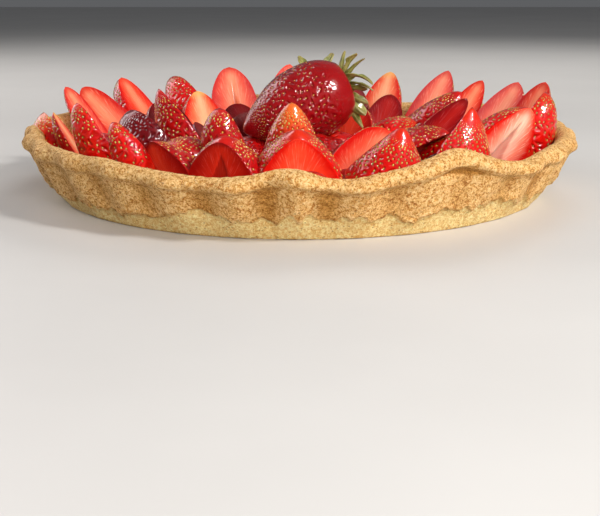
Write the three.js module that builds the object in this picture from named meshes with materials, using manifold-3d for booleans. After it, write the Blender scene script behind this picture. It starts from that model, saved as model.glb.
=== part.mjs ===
// A glazed strawberry tart: a fluted shortcrust shell, a bed of red fruit filling, cut strawberries
// standing in three rings with their tips up and leaning outwards, and two whole strawberries with
// their leaf caps in the middle. Millimetres, +Z up. The origin is the middle of the flat base, and
// the tart's front is at -Y. Azimuths are in degrees from the front, growing towards +X.

import * as THREE from "three";
import { mergeVertices } from "three/addons/utils/BufferGeometryUtils.js";
import Module from "manifold-3d";

const wasm = await Module();
wasm.setup();

// ---------- driving dimensions ----------

const BASE_RADIUS = 114; // the flat base that the tart rests on
const RIM_RADIUS = 127; // widest point of the rim
const RIM_HEIGHT = 29; // mean height of the rim's crest
const WALL = 6; // thickness of the side crust
const RIM_BAND = 8; // height of the rounded band at the top
const FLOOR = 5; // thickness of the bottom crust
const LEDGE_HEIGHT = 9; // where the side's upper layer of dough ends
const WAIST = 2.4; // how far the side draws in under the rim
const BED_TOP = 12; // level of the fruit filling, on which the cut berries stand
const GAP = 0.3; // clearance between solids that touch
const FLUTES = 30; // shallow flutes round the side
const FLUTE_DEPTH = 1.5; // half of the flutes' swing in and out

// ---------- small helpers ----------

const rad = THREE.MathUtils.degToRad;
const smooth = THREE.MathUtils.smoothstep;
const halfTurn = Math.PI;

// A closed three.js geometry as a manifold solid.
function solidOf(geometry) {
  const bare = geometry.index ? geometry.toNonIndexed() : geometry.clone();
  bare.deleteAttribute("normal");
  bare.deleteAttribute("uv");
  const merged = mergeVertices(bare, 1e-3);
  return new wasm.Manifold(
    new wasm.Mesh({
      numProp: 3,
      vertProperties: merged.attributes.position.array,
      triVerts: new Uint32Array(merged.index.array),
    }),
  );
}

// A manifold solid as a three.js geometry, keeping its largest body.
function geometryOf(solid) {
  const bodies = solid.decompose().sort((a, b) => b.volume() - a.volume());
  const mesh = bodies[0].getMesh();
  return new THREE.BufferGeometry()
    .setAttribute("position", new THREE.BufferAttribute(mesh.vertProperties, 3))
    .setIndex(new THREE.BufferAttribute(mesh.triVerts, 1));
}

// A solid of revolution about +Z from [radius, height] pairs that start and end on the axis.
function turned(profile, segments) {
  const points = profile.map(([r, z]) => new THREE.Vector2(r, z));
  return new THREE.LatheGeometry(points, segments).rotateX(halfTurn / 2);
}

// Moves every vertex of a geometry by a function that changes the vertex in place.
function shaped(geometry, move) {
  const position = geometry.attributes.position;
  const v = new THREE.Vector3();
  for (let i = 0; i < position.count; i++) {
    move(v.fromBufferAttribute(position, i));
    position.setXYZ(i, v.x, v.y, v.z);
  }
  return geometry;
}

function finish(name, color, roughness) {
  return new THREE.MeshStandardMaterial({ name, color, roughness, metalness: 0 });
}

const CRUST_FINISH = finish("crust", 0xd9ae6c, 0.85);
const FILLING_FINISH = finish("filling", 0x5e0a12, 0.25);
const BERRY_FINISH = finish("berry", 0xc21a22, 0.2);
const LEAF_FINISH = finish("leaf", 0x6d7a3a, 0.6);

const tart = new THREE.Group();

// ---------- crust ----------

// Places where the hand-pressed rim rises or sags: azimuth, half width and height of each.
const RIM_SWELLS = [
  [-90, 20, 2],
  [-27, 9, -1.4],
  [-14, 11, -3.4],
  [-2, 5, 2.4],
  [8, 8, -3.6],
  [29, 7, 5.6],
  [47, 9, -2.8],
  [97, 14, 1.4],
  [128, 14, 1.6],
  [150, 12, -1.6],
  [-170, 16, 1.5],
  [-140, 14, -1.4],
  [-118, 10, 1.8],
];

// Height of the rim's crest above or below its mean.
function rimSwell(azimuth) {
  return RIM_SWELLS.reduce((sum, [middle, half, height]) => {
    const turned = (azimuth - rad(middle) + 3 * halfTurn) % (2 * halfTurn);
    const away = Math.abs(turned - halfTurn);
    return sum + height * Math.exp(-((away / rad(half)) ** 2));
  }, 0);
}

// How far the flutes push the side out or in, fading out at the base and in the rim.
function flute(azimuth, share) {
  const wander = 0.35 * Math.sin(4 * azimuth + 1) + 0.25 * Math.sin(9 * azimuth);
  const swing = 1 + 0.35 * Math.sin(5 * azimuth + 2);
  const fade = 0.25 + 0.75 * smooth(share, 0, 0.5) * (1 - 0.55 * smooth(share, 0.8, 1));
  return FLUTE_DEPTH * swing * fade * Math.cos(FLUTES * azimuth + wander);
}

// The radius of the side at a height, before the flutes.
const flare = (RIM_RADIUS - BASE_RADIUS) / (RIM_HEIGHT - RIM_BAND / 2);
const wallRadius = (z) => BASE_RADIUS + flare * z;

// Waves a turned shape as the crust is waved: the flutes are outside only.
function waved(v) {
  const azimuth = Math.atan2(v.x, -v.y);
  const radius = Math.hypot(v.x, v.y);
  const share = THREE.MathUtils.clamp(v.z / RIM_HEIGHT, 0, 1);
  const outside = smooth(radius - wallRadius(v.z), -0.8 * WALL, -0.3 * WALL);
  const grown = radius + outside * flute(azimuth, share);
  v.z += rimSwell(azimuth) * smooth(radius, 0.8 * BASE_RADIUS, BASE_RADIUS) * smooth(share, 0.4, 1);
  v.x = grown * Math.sin(azimuth);
  v.y = -grown * Math.cos(azimuth);
}

const SEGMENTS = 120;
const crestRadius = RIM_RADIUS - WALL / 2 - 1;
const underBand = RIM_HEIGHT - RIM_BAND;

const innerWall = [
  [crestRadius - 1.5, RIM_HEIGHT - 0.3],
  [crestRadius - 4, RIM_HEIGHT - 2.2],
  [wallRadius(underBand) - WALL - 0.5, underBand],
  [wallRadius(BED_TOP) - WALL, BED_TOP],
];
const crustProfile = [
  [0, 0],
  [BASE_RADIUS - 1.5, 0],
  [BASE_RADIUS, 1.5],
  [wallRadius(LEDGE_HEIGHT) - WAIST / 2, LEDGE_HEIGHT],
  [wallRadius(underBand) - WAIST, underBand],
  [RIM_RADIUS, RIM_HEIGHT - RIM_BAND / 2],
  [RIM_RADIUS - 0.8, RIM_HEIGHT - 1.6],
  [crestRadius + 0.5, RIM_HEIGHT],
  ...innerWall,
  [wallRadius(FLOOR) - WALL - 1, FLOOR],
  [0, FLOOR],
];
const crust = new THREE.Mesh(shaped(turned(crustProfile, SEGMENTS), waved), CRUST_FINISH);
crust.name = "crust";
tart.add(crust);

// ---------- fruit filling ----------

const fillingProfile = [
  [0, FLOOR + GAP],
  [wallRadius(FLOOR) - WALL - 1 - 2 * GAP, FLOOR + GAP],
  [wallRadius(BED_TOP) - WALL - 2 * GAP, BED_TOP],
  [0, BED_TOP],
];
const filling = new THREE.Mesh(
  shaped(turned(fillingProfile, SEGMENTS), waved),
  FILLING_FINISH,
);
filling.name = "filling";
tart.add(filling);

// The free space over the filling and the crust, with the clearance taken off. Every berry is
// trimmed to it, so that each one is seated on the filling and against the rim.
const SPACE_TOP = 90;
const SPACE_RADIUS = 160;
const spaceProfile = [
  [0, BED_TOP + GAP],
  ...innerWall.map(([r, z]) => [r - 2 * GAP, z + GAP]).reverse(),
  [crestRadius + 0.5, RIM_HEIGHT + 1.5 * GAP],
  [RIM_RADIUS - 0.5, RIM_HEIGHT - 1],
  [RIM_RADIUS + 2 * GAP, RIM_HEIGHT - RIM_BAND / 2],
  [SPACE_RADIUS, RIM_HEIGHT - RIM_BAND / 2],
  [SPACE_RADIUS, SPACE_TOP],
  [0, SPACE_TOP],
];
const space = shaped(turned(spaceProfile, SEGMENTS), waved);

// ---------- strawberries ----------

const SHOULDER = 0.25; // where a berry is widest, as a share of its length from the stem end
const AROUND = 12; // facets round a berry

// A berry's radius, as a share of its greatest one, at a share of its length from the stem end.
// Blunt is 0 for a pointed tip and 1 for a round one.
function berryTaper(share, blunt) {
  if (share < SHOULDER) return 1 - 0.3 * ((SHOULDER - share) / SHOULDER) ** 2;
  const s = (share - SHOULDER) / (1 - SHOULDER);
  return Math.max(0, 1 - s ** (1.7 + 1.3 * blunt)) ** (0.68 - 0.18 * blunt);
}

// A whole berry standing on its stem end with its tip up.
function berry(length, width, blunt) {
  const shares = [0, 0.15, 0.36, 0.64, 0.87];
  const side = shares.map((t) => [(berryTaper(t, blunt) * width) / 2, t * length]);
  return turned([[0, 0], ...side, [0, length]], AROUND);
}

// What the knife takes away from a berry that stands on the origin, for each way of cutting it.
// A margin moves the knife outwards, so that the berry keeps that much more.
const FAR = 200;
const block = (y) => new THREE.BoxGeometry(FAR, FAR, FAR).translate(0, y, 0);
const CUTS = {
  whole: () => [],
  half: (length, width, margin) => [block(-FAR / 2 - margin)],
  // A thick slice taken off one side, slanting in towards the tip.
  most: (length, width, margin) => [
    block(-FAR / 2 - margin)
      .rotateX(-Math.atan((0.17 * width) / length))
      .translate(0, -0.22 * width, SHOULDER * length),
  ],
};

// The solid of a berry, swollen all round by a margin.
function berrySolid({ length, width, blunt, cut }, margin) {
  const swollen = berry(length + 2 * margin, width + 2 * margin, blunt);
  return CUTS[cut](length, width, margin).reduce(
    (solid, knife) => solid.subtract(solidOf(knife)),
    solidOf(swollen.translate(0, 0, -margin)),
  );
}

// The berries already set in the tart, in the order in which they were set.
const seated = [];

// Takes from a solid, given in its mesh's own frame, whatever the seated berries need.
function clearOf(mesh, solid) {
  tart.updateMatrixWorld(true);
  const inverse = mesh.matrixWorld.clone().invert();
  return seated.reduce((left, other) => {
    const there = inverse.clone().multiply(other.matrixWorld);
    return left.subtract(solidOf(geometryOf(berrySolid(other.row, GAP)).applyMatrix4(there)));
  }, solid);
}

// Sets one berry in a frame: its shape is trimmed to the free space, and to the berries that were
// set before it, each swollen by the clearance.
function seat(name, frame, row) {
  const mesh = new THREE.Mesh(new THREE.BufferGeometry(), BERRY_FINISH);
  mesh.name = name;
  frame.add(mesh);
  tart.updateMatrixWorld(true);
  const inverse = mesh.matrixWorld.clone().invert();
  const free = solidOf(space.clone().applyMatrix4(inverse));
  mesh.geometry = geometryOf(clearOf(mesh, berrySolid(row, 0).intersect(free)));
  seated.push({ row, matrixWorld: mesh.matrixWorld.clone() });
  return mesh;
}

// One cut berry. Azimuth and foot place the middle of its stem end on the filling, lean tips it
// outwards, side tips it along the ring, and turn spins it: at 0 its cut face looks outwards.
const SUNK = 3; // how far a berry's stem end lies under the filling's level before trimming
function cutBerry(name, parent, row) {
  const ringFrame = new THREE.Group();
  ringFrame.rotation.z = rad(row.azimuth);
  parent.add(ringFrame);
  const frame = new THREE.Group();
  frame.position.set(0, -row.foot, BED_TOP - SUNK);
  frame.rotation.set(rad(row.lean), rad(row.side), rad(row.turn), "XYZ");
  ringFrame.add(frame);
  seat(name, frame, { ...row, length: row.length + SUNK });
}

// Azimuth, foot, lean, side, turn, length, width, bluntness and cut of each berry, ring by ring.
const named = ([azimuth, foot, lean, side, turn, length, width, blunt, cut]) => ({
  azimuth,
  foot,
  lean,
  side,
  turn,
  length,
  width,
  blunt,
  cut,
});

const OUTER_RING = [
  [-20, 82, 18, 0, -2, 26, 34, 0, "most"],
  [-1, 78, 20, 0, 6, 29, 38, -0.2, "most"],
  [22.5, 86, 20, 6, 150, 30, 34, -0.4, "half"],
  [45, 86, 20, 0, 185, 36, 39, -0.4, "half"],
  [62.5, 90, 31, 4, -34, 36, 34, 0.1, "half"],
  [80, 98, 22, 0, 160, 38, 28, 0.5, "half"],
  [95, 100, 24, -4, 215, 40, 26, 0.2, "half"],
  [110, 92, 34, -3, 200, 42, 26, 0.3, "half"],
  [124, 89, 34, -4, 206, 40, 19, 0.2, "half"],
  [137, 85, 35, -7, 183, 45, 25, 0.2, "half"],
  [152, 83, 28, -2, 173, 39, 25, 0.3, "half"],
  [168, 84, 30, 0, 162, 38, 28, 0.3, "half"],
  [-174, 84, 28, -6, 200, 43, 28, 0.2, "half"],
  [-158, 82, 30, 0, 180, 42, 27, 0.9, "half"],
  [-143, 82, 38, 6, 280, 42, 26, 0.5, "half"],
  [-129, 88, 38, 9, 196, 43, 30, 0.9, "half"],
  [-115, 90, 44, 6, 130, 43, 20, 0.6, "half"],
  [-101, 94, 34, 0, 151, 40, 15, 0.5, "half"],
  [-84, 107, 24, -2, 200, 28, 29, 0.3, "half"],
  [-74, 97, 30, 0, 165, 32, 15, 0.2, "half"],
  [-62, 90, 26, 0, 190, 37, 20, 0.5, "half"],
  [-46, 88, 24, -10, 207, 31, 18, 0.4, "half"],
  [-36, 88, 12, -22, -7, 22, 30, 0, "half"],
];
const MIDDLE_RING = [
  [-3, 58, 16, 0, 180, 36, 25, 0, "half"],
  [16, 63, 4, 42, -4, 30, 26, 0.9, "half"],
  [36, 68, 58, 0, 180, 31, 30, 0.3, "half"],
  [76, 50, 39, 14, -75, 42, 16, 0.3, "half"],
  [104, 54, 33, -14, 20, 40, 26, 0, "half"],
  [138, 58, 24, 0, 215, 28, 22, 0.4, "half"],
  [157, 58, 26, 0, 160, 34, 30, 0, "half"],
  [180, 60, 26, 0, 180, 34, 30, 0, "half"],
  [-154, 56, 36, 0, 200, 25, 34, 0.6, "half"],
  [-131, 58, 22, 0, 180, 31, 30, 0.3, "half"],
  [-108, 58, 30, 0, 160, 30, 30, 0.6, "half"],
  [-78, 43, 31, 0, 195, 42, 30, 0, "half"],
  [-64, 66, 28, 0, 200, 33, 34, 0.6, "half"],
  [-29, 60, 14, 0, 180, 33, 24, 0.6, "half"],
  [58, 66, 40, 0, 0, 23, 20, 0.3, "half"],
  [46, 78, 30, 0, 150, 17, 22, 0.6, "half"],
  [-42, 62, 50, 0, 0, 26, 28, 0.5, "half"],
];
const INNER_RING = [
  [0, 34, 20, 0, 180, 22, 28, 0.5, "half"],
  [55, 40, 60, 0, 0, 42, 25, 0.2, "half"],
  [84, 34, 44, 0, 0, 28, 28, 0.5, "half"],
  [142, 34, 24, 0, 180, 26, 28, 0.5, "half"],
  [-142, 34, 24, 0, 180, 22, 28, 0.5, "half"],
  [-98, 34, 40, 0, 180, 24, 30, 0.5, "half"],
  [-50, 34, 34, 0, 180, 24, 30, 0.5, "half"],
];

// ---------- whole berries ----------

// A whole berry lies with its leaf cap on its stem end. Middle is the middle of its axis, azimuth
// is where its tip points, and rise is how far its tip points upwards.
function wholeBerry(name, row) {
  const place = new THREE.Group();
  place.position.set(...row.middle);
  place.rotation.z = rad(row.azimuth);
  tart.add(place);
  const tilt = new THREE.Group();
  tilt.rotation.x = rad(90 - row.rise);
  place.add(tilt);
  const frame = new THREE.Group();
  frame.position.z = -row.length / 2;
  tilt.add(frame);
  return seat(name, frame, { ...row, blunt: 0, cut: "whole" });
}

const FRONT_WHOLE = {
  middle: [-3.6, -7.1, 37.2],
  azimuth: -68,
  rise: -20,
  length: 54,
  width: 36,
};
const BACK_WHOLE = {
  middle: [10, 27, 32],
  azimuth: 165,
  rise: -66,
  length: 38,
  width: 31,
};

// ---------- leaf caps ----------

// A cap is a small disc with pointed leaves round it, which curl away from the berry's stem end.
// Each leaf is given by its length, and the leaves are spread evenly round the stem.
const LEAF_WIDTH = 4.4;
const CAP_RADIUS = 4;
const CAP_THICKNESS = 1;
const CURL = 0.035; // how far a leaf's tip curls away, per millimetre of its length squared

function capOutline(leaves) {
  const outline = new THREE.Shape();
  const step = (2 * halfTurn) / leaves.length;
  const stations = [
    [0, 0.55],
    [0.4, 1],
    [1, 0],
  ];
  leaves.forEach((length, i) => {
    const across = [
      ...stations.map(([s, w]) => [s, -w]),
      ...stations.slice(0, -1).reverse(),
    ];
    across.forEach(([s, w], k) => {
      const along = CAP_RADIUS + s * (length - CAP_RADIUS);
      const aside = (w * LEAF_WIDTH) / 2;
      const x = along * Math.cos(i * step) - aside * Math.sin(i * step);
      const y = along * Math.sin(i * step) + aside * Math.cos(i * step);
      if (i === 0 && k === 0) outline.moveTo(x, y);
      else outline.lineTo(x, y);
    });
  });
  return outline;
}

function leafCap(name, berryMesh, spin, leaves) {
  const plate = { depth: CAP_THICKNESS, bevelEnabled: false, steps: 1 };
  const geometry = shaped(new THREE.ExtrudeGeometry(capOutline(leaves), plate), (v) => {
    v.z += CURL * v.x ** 2 + CURL * v.y ** 2;
  });
  const cap = new THREE.Mesh(geometry, LEAF_FINISH);
  cap.name = name;
  cap.rotation.set(halfTurn, 0, rad(spin));
  cap.position.z = -1.2 * GAP;
  berryMesh.parent.add(cap);
  cap.geometry = geometryOf(clearOf(cap, solidOf(geometry)));
}

// ---------- assembly ----------

const frontWhole = wholeBerry("whole_berry_front", FRONT_WHOLE);
leafCap("leaf_cap_front", frontWhole, 0, [17, 13, 14, 12, 13, 14, 12, 15, 18]);
const backWhole = wholeBerry("whole_berry_back", BACK_WHOLE);
leafCap("leaf_cap_back", backWhole, 20, [12, 13, 11, 13, 12, 10, 11, 12]);

const RINGS = { outer: OUTER_RING, middle: MIDDLE_RING, inner: INNER_RING };
for (const [ring, rows] of Object.entries(RINGS)) {
  const group = new THREE.Group();
  tart.add(group);
  rows.map(named).forEach((row, i) => {
    cutBerry(`${ring}_berry_${String(i + 1).padStart(2, "0")}`, group, row);
  });
}

export default tart;
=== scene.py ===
"""A glazed strawberry tart: the looks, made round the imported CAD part. Metres, +Z up, front at -Y."""

import itertools
import math
import random

import bmesh
import bpy
from mathutils import Euler, Matrix, Vector, noise


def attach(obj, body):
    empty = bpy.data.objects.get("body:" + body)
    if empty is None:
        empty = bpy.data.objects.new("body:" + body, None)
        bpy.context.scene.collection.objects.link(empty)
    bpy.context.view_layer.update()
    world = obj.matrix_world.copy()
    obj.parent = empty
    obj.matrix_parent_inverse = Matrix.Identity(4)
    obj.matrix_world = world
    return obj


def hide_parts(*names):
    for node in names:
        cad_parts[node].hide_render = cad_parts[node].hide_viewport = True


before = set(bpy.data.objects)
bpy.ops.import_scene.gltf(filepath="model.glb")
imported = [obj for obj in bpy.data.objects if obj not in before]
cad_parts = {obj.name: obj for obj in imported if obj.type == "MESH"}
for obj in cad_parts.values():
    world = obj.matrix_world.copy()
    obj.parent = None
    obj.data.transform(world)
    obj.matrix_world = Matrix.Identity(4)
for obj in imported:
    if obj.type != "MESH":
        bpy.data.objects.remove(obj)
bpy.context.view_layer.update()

# ---------------------------------------------------------------------------------------------
# Camera, lights and table. Not part of the tart: a plain pale table, seen from a little above the
# rim. The glaze mirrors a small key light at the right and a broad panel at the left, and dim fills
# light the food all round without being mirrored in it.
# ---------------------------------------------------------------------------------------------

scene = bpy.context.scene
scene.view_settings.view_transform = "Standard"

camera_data = bpy.data.cameras.new("camera")
camera_data.lens = 64.8
camera_data.sensor_width = 36
camera = bpy.data.objects.new("camera", camera_data)
camera.location = (0, -0.5126, 0.0979)
camera.rotation_euler = (math.radians(75.32), 0, 0)
scene.collection.objects.link(camera)
scene.camera = camera

AIM = Vector((0, 0, 0.03))  # every light points at the middle of the tart


def studio_light(name, place, size, power, colour, lights="all"):
    """An area light that looks at the tart. It lights all, only the food or only the shine."""
    data = bpy.data.lights.new(name, "AREA")
    data.shape = "RECTANGLE"
    data.size, data.size_y = size
    data.energy = power
    data.color = colour
    light = bpy.data.objects.new(name, data)
    light.location = place
    light.rotation_euler = (AIM - Vector(place)).to_track_quat("-Z", "Y").to_euler()
    light.visible_glossy = lights != "food"
    light.visible_diffuse = lights != "shine"
    light.visible_transmission = lights != "shine"
    scene.collection.objects.link(light)


WARM = (1.0, 0.97, 0.93)
studio_light("key_light", (0.66, -0.50, 0.66), (0.16, 0.16), 8.5, WARM)
studio_light("key_shine", (0.58, -0.60, 0.62), (0.13, 0.13), 9.0, WARM, "shine")
studio_light("left_panel", (-0.72, 0.45, 0.52), (0.62, 0.95), 6.5, (1.0, 0.90, 0.93), "shine")
studio_light("left_glow", (-0.80, 0.40, 0.40), (0.8, 0.5), 4.5, WARM, "food")
studio_light("front_fill", (0.25, -0.95, 0.36), (0.5, 0.4), 8.5, WARM, "food")
studio_light("back_light", (0.30, 0.80, 0.70), (0.5, 0.4), 4.5, WARM, "food")

world = bpy.data.worlds.new("studio")
world.use_nodes = True
world.node_tree.nodes["Background"].inputs["Color"].default_value = (0.86, 0.88, 0.92, 1)
world.node_tree.nodes["Background"].inputs["Strength"].default_value = 0.13
scene.world = world


def new_material(name, **settings):
    """A node material, its Principled shader with the given plain settings, and its node tree."""
    material = bpy.data.materials.new(name)
    material.use_nodes = True
    tree = material.node_tree
    shader = tree.nodes["Principled BSDF"]
    for key, value in settings.items():
        shader.inputs[key.replace("_", " ")].default_value = value
    return material, shader, tree


def add_node(tree, kind, inputs=None, **settings):
    """One shader node. Inputs are sockets to link or plain values, by name or number."""
    node = tree.nodes.new(kind)
    for key, value in settings.items():
        setattr(node, key, value)
    for key, value in (inputs or {}).items():
        if isinstance(value, bpy.types.NodeSocket):
            tree.links.new(value, node.inputs[key])
        else:
            node.inputs[key].default_value = value
    return node


def ramp(tree, factor, stops):
    """A colour ramp through (position, (r, g, b)) stops, and its colour socket."""
    node = add_node(tree, "ShaderNodeValToRGB", {0: factor})
    elements = node.color_ramp.elements
    for place, colour in stops[2:]:
        elements.new(place)
    for element, (place, colour) in zip(elements, stops):
        element.position = place
        element.color = (*colour, 1)
    return node.outputs["Color"]


def object_place(tree):
    """Each point's own place, for patterns that run all through a piece."""
    return add_node(tree, "ShaderNodeTexCoord").outputs["Object"]


def grain(tree, vector, scale, detail=4.0, roughness=0.55, distortion=0.0):
    """Noise from 0 to 1 at a scale in cycles per metre."""
    inputs = {
        "Vector": vector,
        "Scale": scale,
        "Detail": detail,
        "Roughness": roughness,
        "Distortion": distortion,
    }
    return add_node(tree, "ShaderNodeTexNoise", inputs).outputs[0]


def new_piece(name, mesh_data, *materials):
    """An object at the origin that shows a bmesh, smooth shaded."""
    mesh = bpy.data.meshes.new(name)
    mesh_data.to_mesh(mesh)
    mesh_data.free()
    for material in materials:
        mesh.materials.append(material)
    mesh.shade_smooth()
    piece = bpy.data.objects.new(name, mesh)
    scene.collection.objects.link(piece)
    return piece


table_mesh = bmesh.new()
bmesh.ops.create_grid(table_mesh, x_segments=8, y_segments=8, size=3)
table_finish, table_shader, table_tree = new_material("table_paint", Roughness=0.55)
table_place = object_place(table_tree)
table_tone = grain(table_tree, table_place, 6)
table_colour = ramp(table_tree, table_tone, [(0.3, (0.56, 0.55, 0.54)), (0.7, (0.60, 0.59, 0.58))])
table_tree.links.new(table_colour, table_shader.inputs["Base Color"])
table = new_piece("table", table_mesh, table_finish)

# ---------------------------------------------------------------------------------------------
# Crust. A shortcrust shell pressed by hand into a fluted tin and baked: a rounded, rough rim, a
# flared side with shallow uneven flutes, and a ragged ledge where its upper layer overlaps a
# paler band of dough at the foot. It is one solid of baked dough.
# ---------------------------------------------------------------------------------------------

MM = 0.001
BASE_RADIUS = 114 * MM
RIM_RADIUS = 127 * MM
RIM_HEIGHT = 29 * MM
RIM_BAND = 8 * MM
WALL = 6 * MM
WAIST = 1.2 * MM
FLOOR = 5 * MM
BED_TOP = 12 * MM
FLUTES = 30
FLUTE_DEPTH = 1.5 * MM
LEDGE_HEIGHT = 8.6 * MM
LEDGE_STEP = 1.3 * MM
FLARE = (RIM_RADIUS - BASE_RADIUS) / (RIM_HEIGHT - RIM_BAND / 2)
CREASE_AZIMUTH, CREASE_HALF_WIDTH = 31, 6.5  # degrees
CREASE_DEPTH = 2.8 * MM
PROFILE_SPACING = 0.52 * MM
CRUST_STEPS = 820

# Where the hand-pressed rim rises or sags: azimuth and half width in degrees, height in mm.
RIM_SWELLS = [
    (-90, 20, 2),
    (-27, 9, -1.4),
    (-14, 11, -3.4),
    (-2, 5, 2.4),
    (8, 8, -3.6),
    (29, 7, 5.6),
    (47, 9, -2.8),
    (97, 14, 1.4),
    (128, 14, 1.6),
    (150, 12, -1.6),
    (-170, 16, 1.5),
    (-140, 14, -1.4),
    (-118, 10, 1.8),
]


def smoothstep(value, low, high):
    """0 below low, 1 above high and an even curve between them."""
    share = min(1.0, max(0.0, (value - low) / (high - low)))
    return share * share * (3 - 2 * share)


def wall_radius(height):
    """The flared side's mean radius at a height."""
    return BASE_RADIUS + FLARE * height


def rim_swell(azimuth):
    """Height of the rim's crest above or below its mean, in metres."""
    total = 0.0
    for middle, half, height in RIM_SWELLS:
        away = (math.degrees(azimuth) - middle + 540) % 360 - 180
        total += height * MM * math.exp(-((away / half) ** 2))
    return total


def flute(azimuth, share):
    """How far the flutes push the side out or in. Share is 0 at the base and 1 at the crest."""
    wander = 0.35 * math.sin(4 * azimuth + 1) + 0.25 * math.sin(9 * azimuth)
    swing = 1 + 0.35 * math.sin(5 * azimuth + 2)
    fade = 0.25 + 0.75 * smoothstep(share, 0, 0.5) * (1 - 0.55 * smoothstep(share, 0.8, 1))
    return FLUTE_DEPTH * swing * fade * math.cos(FLUTES * azimuth + wander)


def curve_through(points, spacing):
    """A smooth curve through points, as closely spaced points."""
    curve = []
    padded = [points[0], *points, points[-1]]
    for before, a, b, after in zip(padded, padded[1:], padded[2:], padded[3:]):
        steps = max(1, round((b - a).length / spacing))
        for i in range(steps):
            t = i / steps
            bend = (2 * before - 5 * a + 4 * b - after) * t * t
            bend += (3 * a - before - 3 * b + after) * t**3
            curve.append(a + 0.5 * ((b - before) * t + bend))
    return [*curve, points[-1]]


def turned(profile, steps):
    """A shape made by turning a profile, which lies in the XZ plane, all the way round Z."""
    mesh = bmesh.new()
    verts = [mesh.verts.new(point) for point in profile]
    edges = [mesh.edges.new(pair) for pair in zip(verts, verts[1:])]
    bmesh.ops.spin(
        mesh,
        geom=[*verts, *edges],
        cent=(0, 0, 0),
        axis=(0, 0, 1),
        angle=math.tau,
        steps=steps,
        use_merge=True,
    )
    bmesh.ops.remove_doubles(mesh, verts=mesh.verts, dist=1e-6)
    bmesh.ops.recalc_face_normals(mesh, faces=mesh.faces)
    return mesh


under_band = RIM_HEIGHT - RIM_BAND
crest_radius = RIM_RADIUS - WALL / 2 - 1 * MM
outer_side = [
    (BASE_RADIUS - 3.0 * MM, 0),
    (BASE_RADIUS - 1.0 * MM, 0.5 * MM),
    (BASE_RADIUS + 0.4 * MM, 2.2 * MM),
    (wall_radius(LEDGE_HEIGHT) - WAIST / 2, LEDGE_HEIGHT),
    (wall_radius(under_band - 5 * MM) - WAIST * 0.9, under_band - 5 * MM),
    (wall_radius(under_band) - WAIST, under_band),
    (RIM_RADIUS - 0.7 * MM, under_band + 2.2 * MM),
    (RIM_RADIUS, RIM_HEIGHT - RIM_BAND * 0.42),
    (RIM_RADIUS - 1.1 * MM, RIM_HEIGHT - 1.2 * MM),
    (crest_radius, RIM_HEIGHT),
    (crest_radius - 2.6 * MM, RIM_HEIGHT - 0.8 * MM),
    (crest_radius - 4.6 * MM, RIM_HEIGHT - 3.2 * MM),
    (wall_radius(under_band) - WALL - 1 * MM, under_band),
    (wall_radius(BED_TOP) - WALL, BED_TOP),
]
side_curve = curve_through([Vector((r, 0, z)) for r, z in outer_side], PROFILE_SPACING)
bottom = [Vector((r, 0, 0)) for r in (0, 0.045, 0.085, 0.103)]
inside = [Vector((r, 0, FLOOR)) for r in (wall_radius(FLOOR) - WALL - 1 * MM, 0.08, 0.04, 0)]
crust_profile = [*bottom, *side_curve, *inside]

crust_mesh = turned(crust_profile, CRUST_STEPS)
browning_and_shade_layer = crust_mesh.verts.layers.float.new("hollow")
lower_layer = crust_mesh.verts.layers.float.new("lower_band")
inner_layer = crust_mesh.verts.layers.float.new("juice")


def ledge_height(azimuth):
    """Height of the ragged ledge: long swings, short scallops and torn crumbs."""
    ring = Vector((math.sin(azimuth), -math.cos(azimuth), 0.3))
    long_swing = noise.noise(ring * 4.0)
    scallop = noise.noise(ring * 13.0 + Vector((7, 1, 0)))
    torn = noise.noise(ring * 42.0 + Vector((3, 9, 0)))
    return LEDGE_HEIGHT + (5.0 * long_swing + 6.0 * abs(scallop) - 1.4 + 2.0 * torn) * MM


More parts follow.
